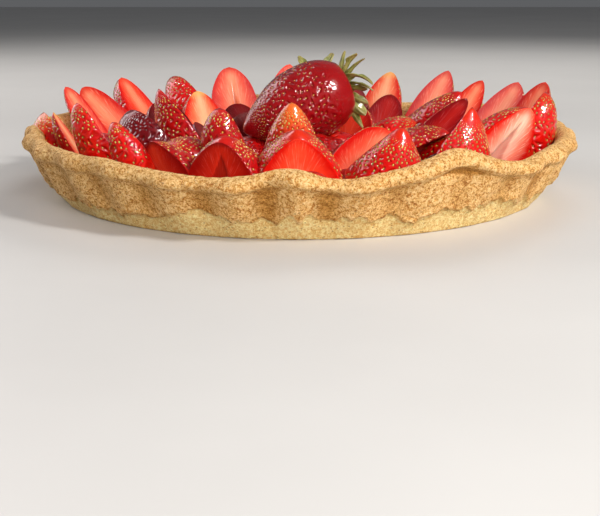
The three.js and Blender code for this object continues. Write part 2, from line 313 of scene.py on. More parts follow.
spokes = {}  # what changes only with azimuth, worked out once for each of the spin's steps
for vert in crust_mesh.verts:
    x, y, z = vert.co
    radius = math.hypot(x, y)
    azimuth = math.atan2(x, -y)
    spoke = round(azimuth * CRUST_STEPS / math.tau)
    if spoke not in spokes:
        ring = Vector((math.sin(azimuth), -math.cos(azimuth), 0))
        curl = max(0.0, noise.noise(ring * 9.0 + Vector((0, 4, 2)))) * 1.6 * MM
        spokes[spoke] = ring, curl, ledge_height(azimuth), rim_swell(azimuth)
    ring, curl, ledge, swell = spokes[spoke]
    share = min(1.0, max(0.0, z / RIM_HEIGHT))
    outward = smoothstep(radius - wall_radius(z), -0.8 * WALL, -0.3 * WALL)
    side = outward * smoothstep(radius, 0.97 * BASE_RADIUS, BASE_RADIUS)
    rim_part = smoothstep(z, under_band, RIM_HEIGHT - 3 * MM)
    if side + rim_part == 0:
        continue
    push = side * flute(azimuth, share)
    spot = Vector((x, y, z))
    # The upper layer of dough ends in a lip, under which the lower band is set back.
    above = z - ledge
    set_back = side * smoothstep(-above, -0.15 * MM, 0.45 * MM)
    lip = side * math.exp(-(((above - 0.9 * MM) / (1.1 * MM)) ** 2))
    push -= set_back * LEDGE_STEP
    push += lip * curl
    # Lumps, from hand-sized swellings to crumbs.
    lumps = 0.9 * noise.noise(spot * 45) + 0.5 * noise.noise(spot * 120)
    crumbs = 0.26 * noise.noise(spot * 340) + 0.16 * noise.noise(spot * 800)
    rough = side * (1 - 0.5 * set_back)
    push += rough * (0.7 * lumps + crumbs * (1 + 0.6 * rim_part)) * MM
    rise = swell * smoothstep(radius, 0.8 * BASE_RADIUS, BASE_RADIUS)
    rise *= smoothstep(share, 0.4, 1)
    if rim_part > 0:
        rise += rim_part * (0.5 * noise.noise(spot * 90) + 0.25 * noise.noise(spot * 420)) * MM
    # A crease under the high part of the rim, where the folded dough didn't close.
    off_crease = (math.degrees(azimuth) - CREASE_AZIMUTH) / CREASE_HALF_WIDTH
    crease_wide = math.exp(-(off_crease**2))
    crease = crease_wide * math.exp(-(((z - under_band - 1.4 * MM) / (0.9 * MM)) ** 2))
    push -= side * crease * CREASE_DEPTH
    grown = radius + push
    vert.co = Vector((grown * ring.x, grown * ring.y, z + rise))
    # Partly oven browning, partly painted shade: browning with painted shade in the flutes'
    # hollows, painted shade in the crease and a painted shadow line under the ledge.
    flute_browning_and_shade = -side * flute(azimuth, share) / FLUTE_DEPTH * (1 - rim_part)
    painted_ledge_shadow = 1.6 * side * math.exp(-(((above + 0.2 * MM) / (0.45 * MM)) ** 2))
    vert[browning_and_shade_layer] = flute_browning_and_shade + 2 * crease + painted_ledge_shadow
    vert[lower_layer] = set_back
    vert[inner_layer] = (1 - outward) * smoothstep(RIM_HEIGHT - z, 5 * MM, 13 * MM)


def mix(tree, factor, a, b, blend="MIX"):
    """Mixes two colours, each a socket or an (r, g, b)."""
    node = add_node(tree, "ShaderNodeMix", data_type="RGBA", blend_type=blend)
    for key, value in ((0, factor), (6, a), (7, b)):
        if isinstance(value, bpy.types.NodeSocket):
            tree.links.new(value, node.inputs[key])
        else:
            node.inputs[key].default_value = value if key == 0 else (*value, 1)
    return node.outputs[2]


def maths(tree, operation, *values, clamp=False):
    """A Math node on sockets or numbers, and its value socket."""
    return add_node(
        tree, "ShaderNodeMath", dict(enumerate(values)), operation=operation, use_clamp=clamp
    ).outputs[0]


def spread(tree, value, low, high, to_low=0.0, to_high=1.0):
    """Maps a value's range smoothly onto another range."""
    inputs = {0: value, 1: low, 2: high, 3: to_low, 4: to_high}
    node = add_node(tree, "ShaderNodeMapRange", inputs, interpolation_type="SMOOTHSTEP")
    return node.outputs[0]


def varied(tree, value, unevenness, amount):
    """A value moved up and down by noise that runs from 0 to 1."""
    return maths(tree, "MULTIPLY_ADD", maths(tree, "SUBTRACT", unevenness, 0.5), amount, value)


def bump(tree, height, distance, strength=1.0, normal=None):
    """A Bump node on a height from 0 to 1 that stands for a distance in metres."""
    inputs = {"Height": height, "Distance": distance, "Strength": strength}
    if normal is not None:
        inputs["Normal"] = normal
    return add_node(tree, "ShaderNodeBump", inputs).outputs[0]


def attribute(tree, name):
    """A mesh attribute's node."""
    return add_node(tree, "ShaderNodeAttribute", attribute_name=name)


crust_finish, crust_shader, crust_tree = new_material(
    "baked_crust",
    Roughness=0.82,
    Specular_IOR_Level=0.3,
    Subsurface_Weight=0.08,
    Subsurface_Radius=(1.0, 0.5, 0.25),
    Subsurface_Scale=1.5 * MM,
)
crust_place = object_place(crust_tree)
broad = grain(crust_tree, crust_place, 40, 5, 0.6)
crumb = grain(crust_tree, crust_place, 620, 5, 0.62, 0.3)
flour = grain(crust_tree, crust_place, 1500, 3, 0.7)
grains = varied(crust_tree, crumb, flour, 1.15)
golden = ramp(
    crust_tree,
    grains,
    [(0.30, (0.42, 0.14, 0.022)), (0.44, (0.72, 0.37, 0.095)), (0.66, (0.96, 0.66, 0.31))],
)
# The darker toasted colour that the hollow attribute mixes in: oven browning with painted shade in the
# flutes, painted shade in the crease and a painted shadow line under the ledge.
toast_and_shade = ramp(crust_tree, grains, [(0.3, (0.24, 0.08, 0.010)), (0.70, (0.72, 0.34, 0.06))])
pale = ramp(crust_tree, grains, [(0.3, (0.78, 0.44, 0.12)), (0.66, (1.0, 0.83, 0.40))])
hollow = attribute(crust_tree, "hollow").outputs["Fac"]
browning_and_shade_amount = varied(crust_tree, hollow, broad, 1.7)
browned_and_shaded = mix(crust_tree, spread(crust_tree, browning_and_shade_amount, -0.2, 1.3, 0.0, 0.85), golden, toast_and_shade)
lower = attribute(crust_tree, "lower_band").outputs["Fac"]
banded = mix(crust_tree, maths(crust_tree, "MULTIPLY", lower, 0.85), browned_and_shaded, pale)
speck_cells = add_node(
    crust_tree, "ShaderNodeTexVoronoi", {"Vector": crust_place, "Scale": 520.0}
)
speck_size = grain(crust_tree, crust_place, 200, 2)
speck_edge = maths(crust_tree, "MULTIPLY", speck_size, 0.34)
speck = maths(crust_tree, "LESS_THAN", speck_cells.outputs["Distance"], speck_edge)
specked = mix(crust_tree, maths(crust_tree, "MULTIPLY", speck, 0.55), banded, (0.33, 0.13, 0.035))
juice = attribute(crust_tree, "juice").outputs["Fac"]
juice_edge = maths(crust_tree, "MULTIPLY_ADD", crumb, 0.5, juice)
stain = spread(crust_tree, juice_edge, 0.45, 1.1)
stained = mix(crust_tree, stain, specked, (0.42, 0.03, 0.02))
crust_tree.links.new(stained, crust_shader.inputs["Base Color"])
crust_tree.links.new(spread(crust_tree, stain, 0, 1, 0.82, 0.3), crust_shader.inputs["Roughness"])
pores = add_node(crust_tree, "ShaderNodeTexVoronoi", {"Vector": crust_place, "Scale": 900.0})
pore = spread(crust_tree, pores.outputs["Distance"], 0.0, 0.35)
coarse_bump = bump(crust_tree, grains, 1.1 * MM, 1.0)
crust_bump = bump(crust_tree, pore, 0.25 * MM, 0.6, coarse_bump)
crust_tree.links.new(crust_bump, crust_shader.inputs["Normal"])

crust = new_piece("crust_shell", crust_mesh, crust_finish)
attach(crust, "root")
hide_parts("crust")

# ---------------------------------------------------------------------------------------------
# Fruit filling. Chopped berries set in dark red jelly: a lumpy, wet bed that fills the shell,
# rises a little between the standing berries and holds their feet.
# ---------------------------------------------------------------------------------------------

GAP = 0.3 * MM
BED_RADIUS = wall_radius(BED_TOP) - WALL - GAP
BED_RISE = 3.5 * MM  # how far the jelly stands above the filling's level
BED_RINGS = 90
BED_STEPS = 360
bed_outline = [
    (0, FLOOR + GAP),
    (BED_RADIUS * 0.5, FLOOR + GAP),
    (BED_RADIUS - 4.5 * MM, FLOOR + GAP),
    (BED_RADIUS, BED_TOP),
    (BED_RADIUS + 1.2 * MM, BED_TOP + BED_RISE),
]
bed_outline += [
    ((BED_RADIUS + 0.6 * MM) * (1 - i / BED_RINGS), BED_TOP + BED_RISE)
    for i in range(BED_RINGS + 1)
]
bed_mesh = turned([(r, 0, z) for r, z in bed_outline], BED_STEPS)
for vert in bed_mesh.verts:
    if vert.co.z > BED_TOP + 2 * MM:
        spot = Vector((vert.co.x, vert.co.y, 0))
        fruit = noise.voronoi(spot * 55)[0]
        dome = 4.2 * max(0.0, 1 - 1.5 * fruit[0]) + 1.2 * noise.noise(spot * 160)
        vert.co.z += dome * MM

bed_finish, bed_shader, bed_tree = new_material(
    "fruit_jelly", Roughness=0.4, Specular_IOR_Level=0.15, Coat_Weight=0.3, Coat_Roughness=0.08
)
bed_place = object_place(bed_tree)
bed_tone = grain(bed_tree, bed_place, 90, 4)
bed_colour = ramp(
    bed_tree,
    bed_tone,
    [(0.3, (0.07, 0.001, 0.003)), (0.55, (0.22, 0.003, 0.006)), (0.75, (0.42, 0.010, 0.010))],
)
bed_tree.links.new(bed_colour, bed_shader.inputs["Base Color"])
bed_tree.links.new(bump(bed_tree, bed_tone, 0.8 * MM, 0.5), bed_shader.inputs["Normal"])
bed = new_piece("fruit_bed", bed_mesh, bed_finish)
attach(bed, "root")
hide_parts("filling")

# ---------------------------------------------------------------------------------------------
# Cut strawberries. Real berries sliced in halves, quarters and slabs and stood in the jelly with
# their tips up and outwards, then brushed with a clear glaze. Each is skin with seeds outside and
# pale fibrous flesh on its cut faces.
# ---------------------------------------------------------------------------------------------

SHOULDER = 0.25  # where a berry is widest, as a share of its length from the stem end
FLAT_END = 0.12  # share of the mesh rings spent on the flat stem end
SUNK = 3 * MM  # how far the stem ends lie under the bed's level
AROUND, ALONG = ((88, 56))  # faces round a berry and along it
WELD = 0.002 * MM  # points of a berry's mesh that lie closer than this are made one
SEED_SPACING = 4.6 * MM  # between the seeds of one row, where the berry is widest
ROW_PITCH = 0.62  # spacing of the rows, as a share of the seeds' spacing round the berry
noise.seed_set(11)  # the noise that makes the berries lumpy, the same at every run


def berry_taper(share, blunt):
    """A berry's radius as a share of its greatest, at a share of its length from the stem end."""
    if share < SHOULDER:
        return 1 - 0.3 * ((SHOULDER - share) / SHOULDER) ** 2
    s = (share - SHOULDER) / (1 - SHOULDER)
    return max(0.0, 1 - s ** (1.7 + 1.3 * blunt)) ** (0.68 - 0.18 * blunt)


def seed_rows(length, width, blunt, columns):
    """Heights at which the seed rows lie, so that the rows crowd together towards the tip."""
    rows = []
    step = 0.0005
    run = 0.0
    share = 0.03
    while share < 0.992:
        taper = berry_taper(share, blunt)
        narrowing = berry_taper(share + step, blunt) - taper
        slope = narrowing * width / 2 / (step * length)
        radius = max(taper, 0.16) * width / 2
        pitch = ROW_PITCH * math.tau * radius / columns
        run += step * length * math.hypot(1, slope) / pitch
        if run >= len(rows) + 1:
            rows.append(share)
        share += step
    return rows


def row_number(rows, share):
    """A height as a number of seed rows, with whole numbers on the rows."""
    if share <= rows[0]:
        return share / rows[0]
    for i, (a, b) in enumerate(zip(rows, rows[1:])):
        if share < b:
            return i + 1 + (share - a) / (b - a)
    return len(rows) + (share - rows[-1]) / max(1e-6, 1 - rows[-1]) * 0.5


def row_share(rows, number):
    """The height at a number of seed rows."""
    if number < 1:
        return max(0.0, number) * rows[0]
    i = min(len(rows) - 2, int(number) - 1)
    return rows[i] + (number - 1 - i) * (rows[i + 1] - rows[i])


class Berry:
    """One strawberry's size, cut and place, and the lumps that make it unlike the others."""

    def __init__(self, number, length, width, blunt, cut, place, fineness=(AROUND, ALONG)):
        self.fineness = fineness
        self.length, self.width, self.blunt, self.place = length, width, blunt, place
        self.inverse = place.inverted()
        self.offset = Vector((number * 1.7, number * 0.9, number * 2.3))
        self.columns = round(math.pi * width / SEED_SPACING)
        self.rows = seed_rows(length, width, blunt, self.columns)
        cuts = {
            "whole": [],
            "half": [((0, 0, 0), (0, 1, 0))],
            "most": [((0, -0.22 * width, SHOULDER * length), (0, 1, -0.17 * width / length))],
        }[cut]
        self.knives = [(Vector(at), Vector(way).normalized()) for at, way in cuts]

    def radius(self, share):
        """The uncut berry's radius at a share of its length."""
        return berry_taper(share, self.blunt) * self.width / 2

    def seeded(self, share):
        """How well grown the seeds are at a height: none at the stem end, smallest at the tip."""
        spacing = math.tau * self.radius(min(0.999, share)) / self.columns
        return smoothstep(spacing, 0.8 * MM, 2.2 * MM) * smoothstep(share, 0.1, 0.3)

    def surface(self, theta, share):
        """A point on the uncut berry's skin, in its own frame."""
        radius = self.radius(share)
        return Vector((radius * math.cos(theta), radius * math.sin(theta), share * self.length))

    def wander(self, column, row):
        """How far the seeds stray from even columns and rows, which is what a berry's do."""
        turn = math.tau * column / self.columns
        phase = self.offset.x
        sideways = 0.26 * math.sin(5 * turn + 1.25 * row + phase)
        sideways += 0.12 * math.sin(9 * turn - 2.3 * row)
        lengthways = 0.24 * math.sin(4 * turn - 1.6 * row + 2 * phase)
        lengthways += 0.12 * math.sin(7 * turn + 2.1 * row)
        return sideways, lengthways

    def kept(self, point, margin=0.0):
        """Whether the knives leave a point, or cut it off by less than a margin."""
        return all((point - at).dot(way) >= -margin for at, way in self.knives)

    def on_cut(self, point):
        """Whether a point of this berry's surface lies on a cut face."""
        return any(abs((point - at).dot(way)) < 0.01 * MM for at, way in self.knives)

    def lumpy(self, point):
        """A point moved by the berry's own slow swells, which leave its flat cuts flat."""
        n = noise.noise_vector(point * 42 + self.offset) * 1.5 * MM
        n += noise.noise_vector(point * 110 + self.offset) * 0.35 * MM
        fade = smoothstep(point.z, 0, 0.3 * self.length) * 0.8 + 0.2
        for _, way in self.knives:
            n -= way * n.dot(way)
        return point + n * fade

    def contains(self, point, shrink):
        """Whether a point in the tart's frame lies inside this berry."""
        p = self.inverse @ point
        share = p.z / self.length
        if not 0 < share < 1 or not self.kept(p, -shrink):
            return False
        return math.hypot(p.x, p.y) < self.radius(share) - shrink


# Azimuth, foot, lean, side, turn, length, width, bluntness, cut, skin and flesh of each berry, in
# degrees and mm. Bluntness is 0 for a pointed tip and 1 for a round one.
OUTER_RING = [
    (-20, 82, 18, 0, -2, 26, 34, 0, "most", "ripe", "deep"),
    (-1, 78, 20, 0, 6, 29, 38, -0.2, "most", "bright", "red"),
    (22.5, 86, 20, 6, 150, 30, 34, -0.4, "half", "bright", "red"),
    (45, 86, 20, 0, 185, 36, 39, -0.4, "half", "bright", "red"),
    (62.5, 90, 31, 4, -34, 36, 34, 0.1, "half", "bright", "pink"),
    (80, 98, 22, 0, 160, 38, 28, 0.5, "half", "bright", "red"),
    (95, 100, 24, -4, 215, 40, 26, 0.2, "half", "ripe", "salmon"),
    (110, 92, 34, -3, 200, 42, 26, 0.3, "half", "ripe", "salmon"),
    (124, 89, 34, -4, 206, 40, 19, 0.2, "half", "ripe", "salmon"),
    (137, 85, 35, -7, 183, 45, 25, 0.2, "half", "ripe", "salmon"),
    (152, 83, 28, -2, 173, 39, 25, 0.3, "half", "gold_tip", "orange"),
    (168, 84, 30, 0, 162, 38, 28, 0.3, "half", "ripe", "salmon"),
    (-174, 84, 28, -6, 200, 43, 28, 0.2, "half", "bright", "red"),
    (-158, 82, 30, 0, 180, 42, 27, 0.9, "half", "bright", "salmon"),
    (-143, 82, 38, 6, 280, 42, 26, 0.5, "half", "bright", "salmon"),
    (-129, 88, 38, 9, 196, 43, 30, 0.9, "half", "bright", "red"),
    (-115, 90, 44, 6, 130, 43, 20, 0.6, "half", "bright", "salmon"),
    (-101, 94, 34, 0, 151, 40, 15, 0.5, "half", "bright", "salmon"),
    (-84, 107, 24, -2, 200, 28, 29, 0.3, "half", "gold_tip", "salmon"),
    (-74, 97, 30, 0, 165, 32, 15, 0.2, "half", "ripe", "orange"),
    (-62, 90, 26, 0, 190, 37, 20, 0.5, "half", "bright", "salmon"),
    (-46, 88, 24, -10, 207, 31, 18, 0.4, "half", "bright", "salmon"),
    (-36, 88, 12, -22, -7, 22, 30, 0, "half", "ripe", "deep"),
]
# Many berries of the middle and inner rings have the dark skin and maroon or wine flesh, whose colours
# are partly painted shade.
MIDDLE_RING = [
    (-3, 58, 16, 0, 180, 36, 25, 0, "half", "gold_tip", "salmon"),
    (16, 63, 4, 42, -4, 30, 26, 0.9, "half", "bright", "salmon"),
    (36, 68, 58, 0, 180, 31, 30, 0.3, "half", "dark", "wine"),
    (76, 50, 39, 14, -75, 42, 16, 0.3, "half", "gold_tip", "wine"),
    (104, 54, 33, -14, 20, 40, 26, 0, "half", "ripe", "deep"),
    (138, 58, 24, 0, 215, 28, 22, 0.4, "half", "dark", "wine"),
    (157, 58, 26, 0, 160, 34, 30, 0, "half", "dark", "wine"),
    (180, 60, 26, 0, 180, 34, 30, 0, "half", "dark", "maroon"),
    (-154, 56, 36, 0, 200, 25, 34, 0.6, "half", "dark", "maroon"),
    (-131, 58, 22, 0, 180, 31, 30, 0.3, "half", "bright", "orange"),
    (-108, 58, 30, 0, 160, 30, 30, 0.6, "half", "dark", "maroon"),
    (-78, 43, 31, 0, 195, 42, 30, 0, "half", "ripe", "salmon"),
    (-64, 66, 28, 0, 200, 33, 34, 0.6, "half", "dark", "maroon"),
    (-29, 60, 14, 0, 180, 33, 24, 0.6, "half", "ripe", "deep"),
    (58, 66, 40, 0, 0, 23, 20, 0.3, "half", "bright", "red"),
    (46, 78, 30, 0, 150, 17, 22, 0.6, "half", "dark", "deep"),
    (-42, 62, 50, 0, 0, 26, 28, 0.5, "half", "ripe", "deep"),
]
INNER_RING = [
    (0, 34, 20, 0, 180, 22, 28, 0.5, "half", "dark", "maroon"),
    (55, 40, 60, 0, 0, 42, 25, 0.2, "half", "ripe", "wine"),
    (84, 34, 44, 0, 0, 28, 28, 0.5, "half", "bright", "red"),
    (142, 34, 24, 0, 180, 26, 28, 0.5, "half", "ripe", "deep"),
    (-142, 34, 24, 0, 180, 22, 28, 0.5, "half", "dark", "maroon"),
    (-98, 34, 40, 0, 180, 24, 30, 0.5, "half", "dark", "maroon"),
    (-50, 34, 34, 0, 180, 24, 30, 0.5, "half", "dark", "maroon"),
]


def attitude(lean, side, turn):
    """Tips a berry outwards, then along the ring, and spins it about its own axis."""
    return (
        Matrix.Rotation(math.radians(lean), 4, "X")
        @ Matrix.Rotation(math.radians(side), 4, "Y")
        @ Matrix.Rotation(math.radians(turn), 4, "Z")
    )


def room(height):
    """How far from the middle a berry can reach at a height, before the crust stops it."""
    shoulder = RIM_HEIGHT - 3 * MM
    return wall_radius(min(height, shoulder)) - 0.7 * WALL + 1.2 * max(0.0, height - shoulder)


def berry_mesh(berry):
    """The skin and flesh of one berry as a bmesh in the tart's frame."""
    mesh = bmesh.new()
    around_steps, along_steps = berry.fineness
    bmesh.ops.create_uvsphere(mesh, u_segments=around_steps, v_segments=along_steps, radius=1)
    rest = mesh.verts.layers.float_vector.new("rest")
    lattice = mesh.loops.layers.uv.new("seed_lattice")
    # The sphere's height becomes a place along the berry, from its flat stem end to its tip.
    for vert in mesh.verts:
        theta = math.atan2(vert.co.y, vert.co.x)
        down = math.acos(max(-1.0, min(1.0, -vert.co.z))) / math.pi
        if down < FLAT_END:
            spot = berry.surface(theta, 0) * (down / FLAT_END)
            spot.z = 0
        else:
            spot = berry.surface(theta, (down - FLAT_END) / (1 - FLAT_END))
        vert.co = spot
    for at, way in berry.knives:
        geometry = [*mesh.verts, *mesh.edges, *mesh.faces]
        bmesh.ops.bisect_plane(mesh, geom=geometry, plane_co=at, plane_no=way, dist=1e-6)
    # Faces beyond a knife become its cut face, pressed flat onto the knife's plane.
    for face in mesh.faces:
        middle = face.calc_center_median()
        face.material_index = 0 if berry.kept(middle) else 1
        round_berry = math.atan2(middle.y, middle.x) / math.tau
        for loop in face.loops:
            co = loop.vert.co
            around = math.atan2(co.y, co.x) / math.tau
            if math.hypot(co.x, co.y) < 1e-7:
                around = round_berry
            around -= round(around - round_berry)
            column, row = around * berry.columns, row_number(berry.rows, co.z / berry.length)
            stray = berry.wander(column, row)
            loop[lattice].uv = (column + stray[0], row + stray[1])
    for vert in mesh.verts:
        for at, way in berry.knives:
            vert.co -= min(0.0, (vert.co - at).dot(way)) * way
    bmesh.ops.remove_doubles(mesh, verts=mesh.verts, dist=WELD)
    bmesh.ops.dissolve_degenerate(mesh, edges=mesh.edges, dist=WELD)
    seeded = mesh.verts.layers.float.new("seeded")
    for vert in mesh.verts:
        vert[rest] = vert.co
        vert[seeded] = berry.seeded(vert.co.z / berry.length)
        spot = berry.place @ berry.lumpy(vert.co)
        squeeze = min(1.0, room(spot.z) / max(MM, spot.xy.length))
        vert.co = (spot.x * squeeze, spot.y * squeeze, spot.z)
    return mesh


def seed_pattern_group():
    """Dimples round the seeds: a mask of their hollows, from the berry's seed lattice."""
    tree = bpy.data.node_groups.new("seed_dimples", "ShaderNodeTree")
    tree.interface.new_socket("Lattice", in_out="INPUT", socket_type="NodeSocketVector")
    tree.interface.new_socket("Hollow", in_out="OUTPUT", socket_type="NodeSocketFloat")
    inputs = tree.nodes.new("NodeGroupInput")
    outputs = tree.nodes.new("NodeGroupOutput")
    parts = add_node(tree, "ShaderNodeSeparateXYZ", {0: inputs.outputs["Lattice"]})
    # Rows lie on whole numbers, and every other row is shifted by half a column.
    row = maths(tree, "ROUND", parts.outputs["Y"])
    shift = maths(tree, "MULTIPLY", maths(tree, "PINGPONG", row, 1.0), 0.5)
    column = maths(tree, "ADD", parts.outputs["X"], shift)
    across = maths(tree, "SUBTRACT", column, maths(tree, "ROUND", column))
    along = maths(tree, "MULTIPLY", maths(tree, "SUBTRACT", parts.outputs["Y"], row), ROW_PITCH)
    distance = maths(
        tree,
        "SQRT",
        maths(
            tree,
            "ADD",
            maths(tree, "MULTIPLY", across, across),
            maths(tree, "MULTIPLY", along, along),
        ),
    )
    tree.links.new(spread(tree, distance, 0.06, 0.34, 1.0, 0.0), outputs.inputs["Hollow"])
    return tree


SEED_DIMPLES = seed_pattern_group()


def skin_finish(name, dark_red_and_hollow_shade, red, tip_colour, tip_from, stem_colour, relief=0.6 * MM):
    """Glazed strawberry skin with painted shade in the seeds' hollows, own stem and tip colours."""
    material, shader, tree = new_material(
        name,
        Roughness=0.3,
        Specular_IOR_Level=0.12,
        Subsurface_Weight=0.12,
        Subsurface_Radius=(1.0, 0.2, 0.1),
        Subsurface_Scale=2.5 * MM,
        Coat_Weight=1.0,
        Coat_Roughness=0.03,
    )
    uv = add_node(tree, "ShaderNodeUVMap", uv_map="seed_lattice").outputs["UV"]
    dimples = tree.nodes.new("ShaderNodeGroup")
    dimples.node_tree = SEED_DIMPLES
    tree.links.new(uv, dimples.inputs["Lattice"])
    seeded = attribute(tree, "seeded").outputs["Fac"]
    hollow_mask = maths(tree, "MULTIPLY", dimples.outputs["Hollow"], seeded)
    place = object_place(tree)
    mottle = grain(tree, place, 260, 4, 0.6)
    base = mix(tree, spread(tree, mottle, 0.3, 0.7, 0.55, 1.0), dark_red_and_hollow_shade, red)
    share = attribute(tree, "height").outputs["Fac"]
    wobble = varied(tree, share, mottle, 0.25)
    tipped = mix(tree, spread(tree, wobble, tip_from, 1.0), base, tip_colour)
    stemmed = mix(tree, spread(tree, wobble, 0.12, 0.42, 0.75, 0.0), tipped, stem_colour)
    # Painted shade: the seeds' hollows are darkened towards the skin's dark red.
    shaded = mix(tree, maths(tree, "MULTIPLY", hollow_mask, 0.45), stemmed, dark_red_and_hollow_shade)
    tree.links.new(shaded, shader.inputs["Base Color"])
    hollows = bump(tree, maths(tree, "SUBTRACT", 1.0, hollow_mask), relief, 1.0)
    pitted = bump(tree, grain(tree, place, 900, 2, 0.5), 0.12 * MM, 0.6, hollows)
    tree.links.new(pitted, shader.inputs["Normal"])
    waves = bump(tree, grain(tree, place, 330, 2, 0.5), 0.55 * MM, 1.0, hollows)
    tree.links.new(waves, shader.inputs["Coat Normal"])
    return material


def stretched(tree, vector, scale):
    """A vector scaled along each axis, to stretch a pattern."""
    return add_node(tree, "ShaderNodeMapping", {0: vector, 3: scale}).outputs[0]


def flesh_pattern_group():
    """The pattern in cut flesh: fibres, the pale streaks they make and how near the skin is."""
    tree = bpy.data.node_groups.new("flesh_fibres", "ShaderNodeTree")
    for name, kind in (("Rest", "Vector"), ("Outline", "Float"), ("Fan", "Float")):
        tree.interface.new_socket(name, in_out="INPUT", socket_type=f"NodeSocket{kind}")
    for name in ("Fibre", "Streak", "Reach"):
        tree.interface.new_socket(name, in_out="OUTPUT", socket_type="NodeSocketFloat")
    inputs = tree.nodes.new("NodeGroupInput").outputs
    outputs = tree.nodes.new("NodeGroupOutput").inputs
    parts = add_node(tree, "ShaderNodeSeparateXYZ", {0: inputs["Rest"]})
    # Fibres fan out from the foot of the core, so their streaks follow the fan's angle.
    ray = maths(tree, "MULTIPLY", inputs["Fan"], 0.05)
    along = maths(tree, "MULTIPLY", inputs["Outline"], 0.004)
    swirl = add_node(tree, "ShaderNodeCombineXYZ", {0: ray, 1: along, 2: parts.outputs["Z"]})
    fibre = grain(tree, stretched(tree, swirl.outputs[0], (1, 1, 0.12)), 700, 2, 0.6)
    fading = spread(tree, inputs["Outline"], 1.0, 0.6)
    streak = maths(tree, "MULTIPLY", spread(tree, fibre, 0.5, 0.74), fading)
    blot = grain(tree, inputs["Rest"], 160, 3)
    tree.links.new(fibre, outputs["Fibre"])
    tree.links.new(streak, outputs["Streak"])
    tree.links.new(varied(tree, inputs["Outline"], blot, 0.35), outputs["Reach"])
    return tree


FLESH_FIBRES = flesh_pattern_group()


def flesh_finish(name, edge, body, core, tip_colour, fibres=0.45):
    """Cut strawberry flesh: a red edge, paler fibres that run out to the skin and a pale core."""
    material, shader, tree = new_material(
        name,
        Roughness=0.35,
        Specular_IOR_Level=0.15,
        Subsurface_Weight=0.15,
        Subsurface_Radius=(1.0, 0.25, 0.12),
        Subsurface_Scale=3 * MM,
        Coat_Weight=0.2,
        Coat_Roughness=0.08,
    )
    rest = attribute(tree, "rest").outputs["Vector"]
    pattern = tree.nodes.new("ShaderNodeGroup")
    pattern.node_tree = FLESH_FIBRES
    tree.links.new(rest, pattern.inputs["Rest"])
    tree.links.new(attribute(tree, "outline").outputs["Fac"], pattern.inputs["Outline"])
    tree.links.new(attribute(tree, "fan").outputs["Fac"], pattern.inputs["Fan"])
    depth = ramp(tree, pattern.outputs["Reach"], [(0.10, core), (0.5, body), (0.90, edge)])
    pale = tuple(min(1.0, 0.12 + 1.1 * c) for c in core)
    streaked = mix(tree, maths(tree, "MULTIPLY", pattern.outputs["Streak"], fibres), depth, pale)
    # A hollow core gets painted shade, darker than the flesh round it, and the tip has its own colour.
    split = spread(tree, attribute(tree, "split").outputs["Fac"], 0.1, 0.6, 0.0, 0.5)
    core_shaded = mix(tree, split, streaked, tuple(0.55 * c for c in edge))
    share = attribute(tree, "height").outputs["Fac"]
    tipped = mix(tree, spread(tree, share, 0.86, 1.0), core_shaded, tip_colour)
    tree.links.new(tipped, shader.inputs["Base Color"])
    wet = bump(tree, grain(tree, rest, 420, 3), 0.25 * MM, 0.5)
    tree.links.new(
        bump(tree, pattern.outputs["Fibre"], 0.3 * MM, 0.55, wet), shader.inputs["Normal"]
    )
    return material


DEEP = (0.16, 0.001, 0.002)
ORANGE_RED = (0.80, 0.05, 0.012)
GOLD = (0.70, 0.13, 0.018)
# Each skin's dark red, which mottles it and is painted as shade in the seeds' hollows, its colours
# on the cheeks and at the tip, where the tip's begins, and the colour at the stem. The last number is
# the depth of the seeds' hollows, where given.
SKIN_COLOURS = {
    "bright": ((0.34, 0.001, 0.001), (0.64, 0.004, 0.002), (0.55, 0.02, 0.004), 0.8, ORANGE_RED),
    "ripe": (DEEP, (0.46, 0.003, 0.003), (0.50, 0.010, 0.006), 0.85, (0.56, 0.012, 0.004)),
    "glazed": (
        DEEP,
        (0.29, 0.002, 0.004),
        (0.26, 0.002, 0.004),
        0.85,
        (0.27, 0.002, 0.003),
        0.5 * MM,
    ),
    # The dark skin is partly dark glaze and partly painted shade, for berries that lie in shade among
    # the others.
    "dark": ((0.05, 0.001, 0.002), (0.15, 0.001, 0.003), (0.18, 0.002, 0.004), 0.9, DEEP),
    "gold_tip": ((0.34, 0.002, 0.002), (0.60, 0.006, 0.003), GOLD, 0.66, ORANGE_RED),
}
# Each flesh's colours by the skin, between and in the core, then the tip's colour and how strongly
# the pale fibres show, where given.
FLESH_COLOURS = {
    "red": ((0.62, 0.005, 0.002), (0.92, 0.06, 0.022), (1.0, 0.24, 0.12), (0.8, 0.05, 0.02), 0.3),
    "deep": ((0.34, 0.003, 0.002), (0.58, 0.016, 0.006), (0.74, 0.05, 0.018), DEEP, 0.25),
    "pink": ((0.72, 0.008, 0.004), (0.98, 0.27, 0.17), (1.0, 0.62, 0.46), (0.9, 0.1, 0.05), 0.7),
    "salmon": ((0.55, 0.006, 0.004), (0.80, 0.09, 0.045), (0.86, 0.25, 0.13), (0.6, 0.03, 0.015)),
    # The maroon and wine fleshes are darker copies of the red flesh, partly painted shade for berries
    # that lie in shade among the others.
    "maroon": ((0.08, 0.001, 0.002), (0.14, 0.003, 0.005), (0.18, 0.008, 0.008), DEEP, 0.2),
    "wine": ((0.16, 0.001, 0.003), (0.28, 0.004, 0.005), (0.36, 0.010, 0.008), DEEP, 0.25),
    "orange": ((0.66, 0.012, 0.005), (0.90, 0.17, 0.07), (0.94, 0.42, 0.22), (0.86, 0.42, 0.12)),
}
SKINS = {name: skin_finish(f"skin_{name}", *row) for name, row in SKIN_COLOURS.items()}
FLESHES = {name: flesh_finish(f"flesh_{name}", *row) for name, row in FLESH_COLOURS.items()}


